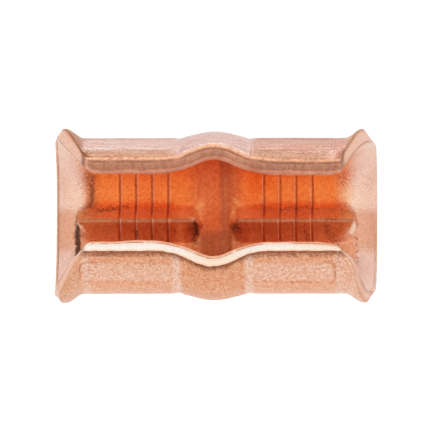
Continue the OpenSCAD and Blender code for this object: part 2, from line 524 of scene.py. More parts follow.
# moves the flat blank's rim in and out
def roughenRim(piece):
    g = rimShape
    moves = []
    for v in piece.data.vertices:
        height = v.co.z / mm
        out = Vector((v.normal.x, v.normal.y, 0))
        if out.length < g["upright"] or not g["margin"] < height < sheet / mm - g["margin"]:
            continue
        least, change, size = g["breaks"]
        broken = least + change * noise.noise(v.co / (size * mm))
        level = height / (sheet / mm) * 2 - 1
        atEnd = smoothStep(*g["endZone"], abs(v.co.x) / mm)
        clipped = atEnd * smoothStep(*g["clipZone"], abs(v.co.y) / wideS)
        move = (g["crown"] + g["endCrown"] * clipped) * (1 - level ** 2)
        move -= g["clipRound"] * clipped * abs(level) ** 3 * (1 if v.co.y > 0 else g["nearClipShare"])
        if v.co.y < 0:
            clipS = acrossSection(connector["clipStart"][v.co.x > 0][0])
            up = smoothStep(*g["slantZone"], (abs(v.co.y) - clipS) / (lipS - clipS))
            move += g["nearClipSlant"] * atEnd * up * (1 - level) / 2
        for at, reach, rise in g["burrs"]:
            move += max(broken, g["leastBurr"]) * rise * (1 - atEnd) * hump(height, at, reach)
        at, reach, depth = g["farGroove" if v.co.y > 0 else "nearGroove"]
        move -= depth * (1 - atEnd) * hump(height, at, reach)
        for size, rise in g["grain"]:
            move += rise * noise.noise(v.co / (size * mm))
        moves.append((v, out.normalized() * (move - g["inset"] * (1 - atEnd)) * mm))
    for v, move in moves:
        v.co += move


# grooves across the inner face
def cutSerrations(piece, blank):
    g = serration
    moves = []
    for v, flat in zip(piece.data.vertices, blank):
        if flat.z < sheet * g["face"]:
            continue
        runOut = smoothStep(*g["fade"], lipGap(flat))
        for i in range(g["count"]):
            away = abs(abs(v.co.x) - g["first"] - i * g["pitch"])
            if away < g["width"] / 2:
                share = min((g["width"] / 2 - away) / g["flank"], 1)
                moves.append((v, v.normal * (-g["depth"] * share * runOut)))
            elif away < g["width"] / 2 + g["hold"] * 1.1:
                moves.append((v, v.normal * g["burr"] * runOut))
    for v, move in moves:
        v.co += move


# marks that the finish follows, first as strokes on the inner face:
# from x, y to x, y in mm, then width and strength
strokes = {
    # dark stains, and painted shade under and beside the ridges' ends and along their far feet
    "stainAndShade": [
        (-12.95, -0.5, -12.85, -2.8, 0.33, 1.0),
        (-12.95, 0.9, -13.02, -0.3, 0.14, 0.75),
        (-11.55, 4.2, -11.6, 2.2, 0.3, 0.56),
        (-11.7, 2.2, -12.2, 1.0, 0.3, 0.36),
        (-10.9, 1.3, -9.2, 1.45, 0.4, 0.5),
        (-8.7, 1.75, -7.2, 1.55, 0.3, 0.34),
        (-6.4, 1.35, -5.2, 1.5, 0.25, 0.34),
        (3.6, 1.75, 5.0, 1.5, 0.3, 0.36),
        (6.2, 1.4, 8.8, 1.65, 0.35, 0.4),
        (9.6, 1.4, 12.2, 1.2, 0.35, 0.3),
        (13.05, -1.2, 13.2, -3.8, 0.2, 0.52),
        (12.7, 1.0, 13.05, 0.1, 0.12, 0.5),
        (10.3, 0.05, 12.9, 0.05, 0.07, 0.6),
        (-1.85, -0.25, -1.8, -0.8, 0.26, 0.8),
        (-2.2, -0.5, -1.9, -1.6, 0.4, 0.45),
        (1.7, -0.35, 2.2, -0.7, 0.35, 0.6),
        (8.4, -0.9, 8.5, -2.2, 0.25, 0.4),
        (10.3, -0.6, 11.2, -2.0, 0.45, 0.4),
        (-7.35, -0.8, -7.3, -1.2, 0.2, 0.45),
        (-3.9, -0.6, -3.8, -0.9, 0.12, 0.5),
    ],
    # painted highlights, and golden painted reflections
    "gleam": [
        (12.95, -0.35, 12.6, -0.85, 0.22, 1.0),
        (12.5, -0.85, 12.2, -1.25, 0.2, 0.45),
        (-12.8, -0.25, -12.3, -0.75, 0.11, 0.75),
        (-2.35, 0.35, -1.75, 0.0, 0.08, 0.6),
    ],
    "sheen": [
        (-1.95, 1.65, -1.4, 2.08, 0.2, 0.8),
        (1.75, 2.4, 2.5, 1.45, 0.2, 0.8),
        (-3.35, -0.75, -3.2, -1.5, 0.4, 0.5),
        (3.6, -1.1, 4.1, -1.5, 0.35, 0.25),
    ],
}

# other dark spots: x, y, width and strength
spots = {
    "pit": (-12.1, 4.0, 0.3, 0.9),       # in the upper half of one corner
    "rub": (13.6, -6.6, 0.5, 0.5),       # on the cut edge of another
}

# share and size of the unevenness of their edges
unevenness = {
    "broad": (0.5, 1.1 * mm, 2.2),       # and seed
    "ragged": (0.18, 0.23 * mm),
    "outline": (0.1, 0.9 * mm),
}

# a zone starts at the first place and is full at the second, in mm
zones = {
    "inner": (-0.12, -0.01),             # from the inner face
    "outer": (0.55, 0.35),               # share of the sheet
    # along the bore and its ends, from the middle
    "boreLeft": (12.45, 11.5),
    "boreRight": (12.45, 10.9),
    "tail": (13.45, 12.75),
    "ridgeEnd": (13.2, 12.8),
    "flare": (11.6, 12.5),
    "flareFloor": (12.2, 12.9),
    "outFlare": (11.8, 12.7),
    "warmHigh": (12.9, 12.2),
    "warmLow": (13.0, 12.2),
    "pale": (11.4, 12.1),
    # above the lobes' axes
    "throatHigh": (-3.2, -2.2),
    "flareHigh": (-3.0, -1.6),
    "flareLow": (-5.0, -4.2),
    "dimBottom": (-5.4, -4.8),
    "dimTop": (-3.4, -4.3),
    "grooveLow": (-1.5, -3.6),
    "upper": (3.0, 3.8),
    # inside the bulge, and along the lobes
    "belly": (3.2, 1.5),
    "bellyEnd": (3.8, 2.8),
    "bellyShade": (0.2, 0.5),
    "bellyNear": (0.2, -1.2),
    "floorSide": (2.6, 1.3),
    "hollowSide": (4.0, 2.0),
    "hollowEnd": (2.0, 4.4),
    # the ridges
    "ridgeFoot": (0.15, 0.6),
    "ridgeSide": (2.2, 1.2),
    "tailSide": (-0.2, -0.8),
    "farEnd": (1.8, 3.4),
    "farSide": (-0.1, 0.1),
    "noseLength": (4.8, 2.6),
    "noseStart": (1.1, 1.7),
    "noseTop": (0.05, 0.35),
    "noseSide": (2.4, 1.2),
    "nearEnd": (1.35, 1.6),
    "nearSide": (-0.05, -0.2),
    "nearFoot": (-0.6, -1.5),
    "noseFoot": (1.0, 0.4),
    "noseFootEnd": (3.6, 2.6),
    "flankEnd": (-0.3, 0.4),
    "crest": (0.2, 0.1),
    # outside the walls
    "back": (2, 5),
    "backWarm": (2.8, 4.2),
    "topWide": (2.5, 4.5),
    "topMiddle": (4.5, 3.0),
    "bandMiddle": (4, 2),
    "endBand": (0.46, 0.2),
    "bulgeSkin": (3.1, 2.7),
    # the cut edge and the rim
    "warmEnd": (5, 11),
    "rimNear": (0.5, -1.5),
    "rimHigh": (1.06, 0.96),             # share of the way to the widest place
    "clip": (-0.12, 0.5),
    "freshAndLit": (1, -1),
    # the panels' outlines
    "outlineLeft": (-10.2, -11.2),
    "outlineRight": (9.9, 10.6),
    "outlineLine": (6.5, 7.5),
}

# place and reach, in mm along X
peaks = {
    "throatShade": (11.75, 0.6),
    "deep": (4.1, 1.3),
    "bellyShade": (0.7, 1.0),
    "topBright": (11.1, 0.5),
    "crease": (3.4, 0.42),
    "endCrease": (11.75, 0.42),
    "warmMiddle": (0, 2.6),
}

# strength of the marks that are weaker in one place
shares = {
    "throatRight": 0.4,
    "throatHigh": 0.6,
    "dimmed": 0.32,
    "noseFoot": 0.8,
    "groove": 0.7,
    "topMiddle": 0.75,
    "endBandRight": 0.5,
    "endCrease": 0.8,
    "warmEnd": 0.75,
    "rimRight": 0.6,
    "outlineLower": 0.35,
    "outlineLine": 0.7,
}

# sizes of the narrow marks, in mm
narrow = {
    "floorShift": 0.2,                   # the flares' floor is this far off the middle
    "tailRight": (13.0, 1.5),            # a ridge's end at the crest, and its slant
    "tailLeft": (12.75, 0.75),
    "tailTop": 0.2,                      # where the slant starts, from the crest
    "tailFrom": -0.1,
    "crestDepth": 0.12,
    "topBand": (0.5, 1.0, 0.35),         # widths of the painted shade along the far lip: bulge, added beyond, core
    "nearBand": (0.6, 0.16, 0.2),        # painted shade along the near one: widest, cut at the bulge, core
    "grooveEdge": 0.01 * mm,             # slack at a groove's edges
    "outlineDepth": 0.4,                 # share of the sheet
    "noOutline": 9.0,                    # given to points with no panel near
}


def fade(zone, value):
    return smoothStep(*zones[zone], value)


def peak(zone, value, power=2):
    return hump(value, *peaks[zone], power)


# the strongest stroke at a point
def strokeAt(at, kind):
    most = 0
    for ax, ay, bx, by, width, strength in strokes[kind]:
        gap = fromLine(at.x, at.y, [(ax, ay), (bx, by)])
        most = max(most, strength * hump(gap, 0, width))
    return most


def spotAt(at, kind):
    x, y, width, strength = spots[kind]
    return strength * hump(math.hypot(at.x - x, at.y - y), 0, width)


# what the marks at one point depend on, in mm
def pointOf(co, flat):
    at = SimpleNamespace(co=co, flat=flat)
    at.x = co.x / mm
    at.y = co.y / mm
    at.along = abs(at.x)
    at.level = (co.z - lobeZ) / mm
    at.rise = (co.z - lobeZ + innerR) / mm
    share, size, seed = unevenness["broad"]
    at.broad = share * wobble(co.y, co.z, size, seed)
    share, size = unevenness["ragged"]
    at.ragged = share * noise.noise(co / size)
    at.reach = at.along + at.ragged
    at.edgeGap = lipGap(flat) / mm
    at.endGap = (endLine(flat.y, flat.x) - abs(flat.x)) / mm
    at.inner = fade("inner", (flat.z - sheet) / mm)
    at.outer = fade("outer", flat.z / sheet)
    at.low = at.inner * (at.level < 0)
    at.farInner = at.inner * (at.y > 0)
    at.onRidge = at.low * fade("ridgeFoot", at.rise) * fade("ridgeSide", abs(at.y))
    return at


# the bore, the flares, and the throats between them
def boreMarks(at):
    ridgeBody = at.onRidge * fade("ridgeEnd", at.along)
    bore = at.inner * fade("boreLeft" if at.x < 0 else "boreRight", at.reach + 0.6 * at.broad)
    tail = at.low * fade("tailSide", at.y) * fade("tail", at.reach + at.ragged)
    # painted shade in the crease where the bore opens into each flare, weaker at +X and higher up
    throatShade = at.inner * peak("throatShade", at.reach) * (1 if at.x < 0 else shares["throatRight"])
    throatShade *= 1 - shares["throatHigh"] * fade("throatHigh", at.level)
    onFloor = fade("floorSide", abs(at.y + narrow["floorShift"]) + 0.5 * at.broad) * (at.level < 0)
    dimmed = shares["dimmed"] * (at.y > 0) * fade("dimBottom", at.level) * fade("dimTop", at.level)
    high = fade("flareHigh", at.level)
    warm = fade("warmHigh", at.reach) * high
    if at.x > 0:
        warm = max(warm, fade("warmLow", at.reach) * fade("flareLow", at.level) * (1 - high))
    return {
        "bore": max(bore, ridgeBody, tail),
        "throatShade": throatShade * (1 - max(ridgeBody, tail)),
        "flare": at.inner * fade("flare", at.reach),
        "flareFloor": at.inner * max(onFloor * fade("flareFloor", at.reach), dimmed),
        "flareWarm": at.farInner * warm,
        "pale": at.farInner * high * fade("pale", at.reach),
        # dark stains and painted shade from the strokes, a pit and a rubbed spot
        "stainAndShade": max(
            at.inner and at.inner * strokeAt(at, "stainAndShade"),
            spotAt(at, "pit") * (at.level > 0),
            spotAt(at, "rub") * (at.y < 0) * (1 - at.inner) * (1 - at.outer),
        ),
    }


# inside the bulge, and along the lobes and ridges
def ridgeMarks(at):
    belly = at.inner * fade("belly", at.along + at.broad)
    # painted shade on the +X side of the bulge's inside, with a sharp edge near the middle
    shade = fade("bellyShade", at.x + 0.4 * at.ragged)
    nose = fade("noseLength", at.along + at.broad) * fade("noseStart", at.along)
    nose *= fade("noseTop", at.y) * fade("noseSide", at.y + at.broad)
    near = at.low * fade("nearEnd", at.along)
    noseFoot = fade("noseFoot", at.rise) * fade("noseFootEnd", at.along)
    end, slant = narrow["tailRight" if at.x > 0 else "tailLeft"]
    past = at.reach + 0.5 * at.broad - end + slant * (abs(at.y) - narrow["tailTop"])
    onCrest = at.rise > ridge["height"] / mm - narrow["crestDepth"]
    return {
        "belly": belly,
        "bellyShade": at.inner * shade * peak("bellyShade", at.x),
        # painted shade towards the near lip, inside the bulge and beside it
        "bellyLow": at.low * max(belly, fade("bellyEnd", at.along)) * fade("bellyNear", at.y),
        "deep": at.inner * peak("deep", at.x),
        "hollow": at.low * fade("hollowSide", abs(at.y) + at.broad) * fade("hollowEnd", at.along + at.broad),
        "farFlank": at.onRidge * fade("farEnd", at.along) * fade("farSide", at.y),
        "nose": at.low * nose,
        # painted shade on the near side of each ridge, less at the foot of its inner end
        "nearFlank": near * fade("nearSide", at.y) * (1 - shares["noseFoot"] * noseFoot),
        "nearFoot": near * fade("nearFoot", at.y),
        "flankEnd": at.low * (at.y < narrow["tailFrom"]) * fade("flankEnd", past),
        "crest": at.onRidge * fade("crest", abs(at.y)) * onCrest,
        "gleam": at.low and at.low * strokeAt(at, "gleam"),
        "sheen": at.low and at.low * strokeAt(at, "sheen"),
    }


# painted shade inside the serration grooves, stronger lower down, and a painted highlight along each
# groove's edge nearer the middle
def grooveMarks(at):
    g = serration
    groove = 0.0
    grooveEdge = 0.0
    for i in range(g["count"]):
        away = abs(at.co.x) - g["first"] - i * g["pitch"]
        past = -away - g["width"] / 2
        groove = max(groove, at.inner * (abs(away) < g["width"] / 2 - narrow["grooveEdge"]))
        grooveEdge = max(grooveEdge, at.inner * (-narrow["grooveEdge"] < past < g["hold"] * 1.1))
    return {
        "groove": groove * shares["groove"] * fade("grooveLow", at.level),
        "grooveEdge": grooveEdge,
    }


# outside the walls
def wallMarks(at):
    back = (1 - at.inner) * fade("back", at.y)
    # painted shade in a band along the top of the far wall, below its lip, taken back at +X near 11 mm and
    # over the middle
    bulge, beyond, core = narrow["topBand"]
    top = smoothStep(bulge + beyond * fade("topWide", at.along), core, at.edgeGap + at.ragged)
    bright = max(peak("topBright", at.x), shares["topMiddle"] * fade("topMiddle", at.along))
    # painted shade in a band beside the cut edges: at the far ends, and below the near lip
    beside = fade("endBand", at.endGap + at.ragged) * (1 if at.x < 0 else shares["endBandRight"])
    if at.y < 0:
        wide, less, core = narrow["nearBand"]
        wide -= less * fade("bandMiddle", at.along)
        beside = smoothStep(wide, core, at.edgeGap + 0.7 * at.ragged)
    # painted highlight along the crease at the bulge's foot and, a little weaker, where each flare starts
    crease = peak("crease", at.along, 4) + shares["endCrease"] * peak("endCrease", at.along, 4)
    # the near panels' outlines are worn away, but for a corner at each end and one lower line
    upper = fade("upper", at.level)
    worn = fade("outlineLeft", at.x) * (shares["outlineLower"] * (1 - upper) + upper)
    if at.x >= 0:
        worn = shares["outlineLine"] * fade("outlineLine", at.x) * (1 - upper)
        worn = max(worn, fade("outlineRight", at.x))
    outline = narrow["noOutline"]
    if at.flat.z < narrow["outlineDepth"] * sheet and abs(at.flat.y) > wideS:
        angle = math.atan2(at.co.z - lobeZ, abs(at.co.y) - lobeY)
        share, size = unevenness["outline"]
        outline = panelDistance(at.co.x, angle) / mm + share * noise.noise(at.co / size)
    return {
        "back": back,
        "backWarm": back * fade("backWarm", at.x + at.broad),
        "backTopShade": at.outer * (at.y > 0) * top * (1 - bright),
        "edgeShade": at.outer * beside,
        "creaseHighlight": at.outer * crease,
        "bulgeSkin": at.outer * fade("bulgeSkin", at.reach),
        "outFlare": at.outer * fade("outFlare", at.reach),
        "outline": outline,
        "outlineShow": (1 - back) * worn,
    }


# the cut edge, and the rims inside the flares
def edgeMarks(at):
    shown = 1 if at.x < 0 else shares["rimRight"] * fade("rimNear", at.y)
    return {
        "right": float(at.x > 0),
        "height": at.flat.z / mm,
        "freshAndLit": fade("freshAndLit", at.y),
        "warm": peak("warmMiddle", at.x) + shares["warmEnd"] * fade("warmEnd", at.x),
        "clip": fade("clip", at.along - connector["lipEnd"][at.x > 0] / mm),
        "rimGap": at.endGap,
        "rimBand": shown * at.inner * fade("rimHigh", abs(at.flat.y) / wideS),
    }


def markFinish(piece, blank):
    marks = {}
    for v, flat in zip(piece.data.vertices, blank):
        at = pointOf(v.co, flat)
        for marksOf in (boreMarks, ridgeMarks, grooveMarks, wallMarks, edgeMarks):
            for name, value in marksOf(at).items():
                marks.setdefault(name, []).append(value)
    for name, values in marks.items():
        piece.data.attributes.new(name, "FLOAT", "POINT").data.foreach_set("value", values)
    piece.data.update()
    print("finish marked:", len(marks), "marks")


def makeConnector():
    xs = bothHalves(halfLines())
    ss = bothHalves(crossLines())
    bpy.ops.object.select_all(action="DESELECT")
    bpy.ops.mesh.primitive_grid_add(x_subdivisions=len(xs) - 1, y_subdivisions=len(ss) - 1, size=1)
    piece = bpy.context.object
    piece.name = "copper_connector"
    for v in piece.data.vertices:
        i = round((v.co.x + 0.5) * (len(xs) - 1))
        j = round((v.co.y + 0.5) * (len(ss) - 1))
        v.co = Vector((*onBlank(xs[i], ss[j]), 0))
    applyModifier(piece, "thickness", "SOLIDIFY", thickness=sheet, offset=1)
    applyModifier(
        piece, "rounded rim", "BEVEL", width=connector["edgeRound"], segments=connector["edgeSegments"],
        limit_method="ANGLE", angle_limit=connector["edgeAngle"],
    )
    divideRim(piece)
    roughenRim(piece)
    print("blank cut:", len(xs), "by", len(ss), "lines,", len(piece.data.vertices), "points")
    blank = [v.co.copy() for v in piece.data.vertices]
    for v in piece.data.vertices:
        v.co = pressed(*v.co)
    piece.data.update()
    cutSerrations(piece, blank)
    bpy.ops.object.mode_set(mode="EDIT")
    bpy.ops.mesh.select_all(action="SELECT")
    bpy.ops.mesh.normals_make_consistent(inside=False)
    bpy.ops.object.mode_set(mode="OBJECT")
    bpy.ops.object.shade_smooth()
    markFinish(piece, blank)
    piece.data.materials.append(pressedCopper())
    piece.data.materials.append(shearedCopper())
    edge = connector["edgeRound"] * 0.5
    for face in piece.data.polygons:
        depth = sum(blank[i].z for i in face.vertices) / len(face.vertices)
        face.material_index = int(edge < depth < sheet - edge)
    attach(piece, "root")
    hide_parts(connector["node"])
    triangles = sum(len(face.vertices) - 2 for face in piece.data.polygons)
    print("connector pressed:", triangles, "triangles")


# finishes
def fillSockets(tree, node, sockets):
    for key, value in sockets.items():
        if isinstance(value, bpy.types.NodeSocket):
            tree.links.new(value, node.inputs[key])
        else:
            node.inputs[key].default_value = value


def place(tree, kind, sockets=None, **settings):
    node = tree.nodes.new("ShaderNode" + kind)
    for key, value in settings.items():
        setattr(node, key, value)
    fillSockets(tree, node, sockets or {})
    return node


def mixColor(tree, factor, a, b, blend="MIX"):
    return place(tree, "Mix", {0: factor, 6: a, 7: b}, data_type="RGBA", blend_type=blend).outputs[2]


def calc(tree, operation, *values):
    return place(tree, "Math", dict(enumerate(values)), operation=operation).outputs[0]


def product(tree, value, *others):
    for other in others:
        value = calc(tree, "MULTIPLY", value, other)
    return value


def largest(tree, value, *others):
    for other in others:
        value = calc(tree, "MAXIMUM", value, other)
    return value


def remap(tree, value, fromMin, fromMax, toMin, toMax):
    sockets = {"Value": value, "From Min": fromMin, "From Max": fromMax, "To Min": toMin, "To Max": toMax}
    return place(tree, "MapRange", sockets, interpolation_type="SMOOTHSTEP").outputs[0]


def attribute(tree, name):
    return place(tree, "Attribute", attribute_name=name).outputs["Fac"]


def stretched(tree, vector, scale):
    return place(tree, "Mapping", {"Vector": vector, "Scale": scale}).outputs[0]


# scale, detail and roughness
noises = {
    "grain": (1.0, 2.0, 0.55),           # each finish has its own scale
    "mottle": (7000.0, 2.0, 0.6),
    "patches": (700.0, 3.0, 0.55),
    "speck": (3800.0, 5.0, 0.65),
    "drag": (1900.0, 3.0, 0.6),
    "haze": (420.0, 4.0, 0.6),
    "sand": (3000.0, 2.0, 0.6),
    "streak": (3200.0, 3.0, 0.55),
    "dent": (2300.0, 2.0, 0.5),
    "shear": (1.0, 4.0, 0.6),
}


def noiseValue(tree, vector, kind, **own):
    sockets = dict(zip(("Scale", "Detail", "Roughness"), noises[kind]))
    return place(tree, "TexNoise", {"Vector": vector, **sockets, **own}).outputs[0]


# a soft stripe where a value is near a mark, full over the inner part of its reach
def stripe(tree, value, at, reach):
    away = calc(tree, "ABSOLUTE", calc(tree, "SUBTRACT", value, at))
    return remap(tree, away, reach * 0.4, reach, 1.0, 0.0)


# a palette's colour, where its mark is
def paint(tree, color, palette, name, share):
    return mixColor(tree, product(tree, attribute(tree, name), share), color, palette[name])


# darker and paler, following a mask
def mottled(tree, color, palette, name, mask, share):
    shade = mixColor(tree, mask, palette[name + "Dark"], palette[name + "Pale"])
    return mixColor(tree, share, color, shade, "MULTIPLY")


def bumped(tree, height, distance, **under):
    return place(tree, "Bump", {"Height": height, "Distance": distance, "Strength": 1.0, **under}).outputs[0]


# a group with its inputs and outputs named, and the nodes for both
def newGroup(name, inputs, outputs):
    tree = bpy.data.node_groups.new(name, "ShaderNodeTree")
    for socket, kind in inputs:
        tree.interface.new_socket(socket, in_out="INPUT", socket_type="NodeSocket" + kind)
    for socket in outputs:
        tree.interface.new_socket(socket, in_out="OUTPUT", socket_type="NodeSocketFloat")
    return tree, tree.nodes.new("NodeGroupInput"), tree.nodes.new("NodeGroupOutput")


# fine sandy grain, mottling a few grains wide, and broad patches
def grainGroup():
    inputs = [("Vector", "Vector"), ("Grain Scale", "Float")]
    tree, given, put = newGroup("copperGrain", inputs, ["Grain", "Mottle", "Patches"])
    vector = given.outputs["Vector"]
    fillSockets(tree, put, {
        "Grain": noiseValue(tree, vector, "grain", Scale=given.outputs["Grain Scale"]),
        "Mottle": noiseValue(tree, vector, "mottle"),
        "Patches": noiseValue(tree, vector, "patches"),
    })
    return tree


specks = {
    "lift": 0.36,                        # how much more of them a full amount brings
    "spread": (0.56, 0.8, 0.0, 1.0),
    "depth": (0.0, 0.9, 0.3, 1.0),
}


# dark specks that gather where the amount of stain and painted shade is high, and a few anywhere
def tarnishAndShadeGroup():
    tree, given, put = newGroup("copperTarnishAndShade", [("Vector", "Vector"), ("Amount", "Float")], ["Specks"])
    amount = given.outputs["Amount"]
    speck = noiseValue(tree, given.outputs["Vector"], "speck")
    lifted = calc(tree, "MULTIPLY_ADD", amount, specks["lift"], speck)
    dark = product(tree, remap(tree, lifted, *specks["spread"]), remap(tree, amount, *specks["depth"]))
    fillSockets(tree, put, {"Specks": dark})
    return tree


def useGroup(tree, group, sockets):
    return place(tree, "Group", sockets, node_tree=group).outputs


def newMaterial(name):
    material = bpy.data.materials.new(name)
    material.use_nodes = True
    tree = material.node_tree
    return material, tree, tree.nodes["Principled BSDF"], place(tree, "TexCoord").outputs["Object"]


grain = grainGroup()
tarnishAndShade = tarnishAndShadeGroup()

skin = {
    "wall": (0.88, 0.39, 0.235, 1),
    "bulgeSkin": (0.81, 0.345, 0.19, 1),     # outside of the bulge
    # painted highlight along the outer creases
    "creaseHighlight": (0.94, 0.53, 0.40, 1),
    "flare": (0.90, 0.52, 0.41, 1),
    "flareFloor": (0.70, 0.32, 0.205, 1),
    "flareWarm": (1.0, 0.48, 0.275, 1),
    "flareSpeck": (0.80, 0.36, 0.19, 1),
    "pale": (0.90, 0.54, 0.40, 1),           # scoured tops of the flares
    "outFlare": (0.77, 0.37, 0.225, 1),
    "outFlareRight": (0.88, 0.46, 0.32, 1),
    # the far flares' outsides are painted darker, as in shade, less so at +X
    "outFlareBackShade": (0.45, 0.16, 0.075, 1),
    "outFlareBackRightShade": (0.74, 0.34, 0.21, 1),
    "rimEdge": (0.78, 0.36, 0.20, 1),
    "rimLine": (0.24, 0.13, 0.11, 1),
    "back": (0.74, 0.455, 0.40, 1),          # the far wall
    "backWarm": (0.64, 0.31, 0.24, 1),       # its +X end is darker and warmer
    # painted shade along the top of the far wall
    "backTopShade": (0.42, 0.215, 0.14, 1),
    "bore": (1.0, 0.30, 0.076, 1),
    "deep": (0.93, 0.19, 0.032, 1),          # beside the bulge, on one side
    "hollow": (0.97, 0.275, 0.07, 1),        # along the bottom of each lobe
    "belly": (0.86, 0.26, 0.098, 1),         # inside the bulge
    # painted shade down the +X side of the bulge's inside
    "bellyShade": (0.46, 0.15, 0.07, 1),
    # painted shade towards the near lip, inside the bulge and beside it
    "bellyLow": (0.46, 0.14, 0.06, 1),
    "farFlank": (0.85, 0.35, 0.138, 1),      # the two sides of a ridge, the near one painted darker as in shade
    "nose": (1.0, 0.45, 0.175, 1),           # beside its inner end
    "nearFlank": (0.65, 0.205, 0.078, 1),
    "nearFoot": (0.80, 0.32, 0.14, 1),
    # golden painted reflections beside the ridges' inner ends
    "sheen": (1.0, 0.50, 0.19, 1),
    "flankEnd": (0.80, 0.40, 0.25, 1),
    "crest": (0.49, 0.215, 0.125, 1),
    # painted shade in the serration grooves, and a painted highlight along one edge of each
    "groove": (0.45, 0.11, 0.03, 1),
    "grooveEdge": (0.80, 0.46, 0.32, 1),
    "throatShade": (0.45, 0.15, 0.07, 1),         # painted shade in the crease where the bore opens into a flare
    "panel": (0.92, 0.54, 0.41, 1),
    "panelLine": (0.55, 0.22, 0.11, 1),
    "edgeShade": (0.19, 0.07, 0.037, 1),      # painted shade beside the sheared edge
    # dark stains and painted shade
    "stainAndShade": (0.10, 0.045, 0.03, 1),
    "shadeDark": (0.72, 0.58, 0.48, 1),
    "shadePale": (1.10, 1.22, 1.30, 1),
    "sandDark": (0.90, 0.79, 0.70, 1),
    "sandPale": (1.09, 1.13, 1.16, 1),
    "streakDark": (0.90, 0.82, 0.78, 1),     # along the far wall
    "streakPale": (1.05, 1.13, 1.17, 1),
    "dragDark": (0.90, 0.78, 0.70, 1),       # round the bore
    "dragPale": (1.0, 1.08, 1.12, 1),
    "haze": (0.80, 0.70, 0.62, 1),
    # painted highlights at the ridges' ends
    "gleam": (1.0, 0.76, 0.60, 1),
    "glint": (0.97, 0.68, 0.54, 1),
    # shares of the zones, in the order in which they are painted
    "inside": {
        "deep": 0.85, "hollow": 1.0, "belly": 1.0, "bellyShade": 0.55, "bellyLow": 0.8,
        "farFlank": 1.0, "nose": 0.9, "nearFlank": 1.0, "nearFoot": 0.8, "sheen": 1.0,
        "flankEnd": 0.85, "crest": 0.9, "groove": 1.0, "grooveEdge": 0.7,
    },
    "outside": {
        "bulgeSkin": 1.0, "creaseHighlight": 1.0, "back": 1.0, "backWarm": 1.0,
        "flare": 1.0, "flareFloor": 1.0, "pale": 0.7, "flareWarm": 0.8,
    },
    # painted over both
    "over": {"throatShade": 0.8, "backTopShade": 1.0, "edgeShade": 0.95},
    # from a least and most value of a mark or a noise to a least and most share
    "levels": {
        "drag": (0.3, 0.7, 0.0, 1.0),
        "dragged": (0.0, 1.0, 0.35, 1.0),
        "haze": (0.42, 0.62, 0.0, 0.3),
        "rimEdge": (0.32, 0.2, 0.0, 0.9),
        "rimBroken": (0.3, 0.5, 0.15, 1.0),
        "inPanel": (-0.05, -0.3, 0.0, 1.0),
        "panelBack": (0.0, 1.0, 0.6, 0.1),
        "lineBroken": (0.38, 0.55, 0.15, 0.7),
        "shade": (0.3, 0.7, 0.0, 1.0),
        "shaded": (0.0, 1.0, 1.0, 0.5),
        "sand": (0.32, 0.68, 0.0, 1.0),
        "sanded": (0.0, 1.0, 1.0, 0.35),
        "streak": (0.3, 0.7, 0.0, 1.0),
        "glint": (0.64, 0.74, 0.0, 0.8),
        "freckle": (0.58, 0.7, 0.0, 0.5),
        "roughness": (0.3, 0.7, 0.3, 0.42),
        "gleamMetallic": (0.2, 1.0, 1.0, 0.15),
        "paleMetallic": (0.0, 1.0, 1.0, 0.45),
        "noseMetallic": (0.0, 1.0, 1.0, 0.75),
    },
    # place and reach of the drawn lines, in mm
    "rimStripe": (0.34, 0.1),
    "panelStripe": (0.0, 0.15),
    "rimShare": 0.85,
    "flareDull": 0.8,
    # what the bore has more of
    "boreStain": 0.06,
    "boreSand": 0.4,
    "boreRough": 0.3,
    "dragRun": (1.0, 0.05, 0.05),
    "streakRun": (0.12, 1.0, 1.0),
    "dentRun": (1.0, 0.35, 0.35),
    "grainScale": 6000.0,
    "grainDepth": 0.08 * mm,
    "pressedDepth": 0.05 * mm,               # worn texture inside the panels
}


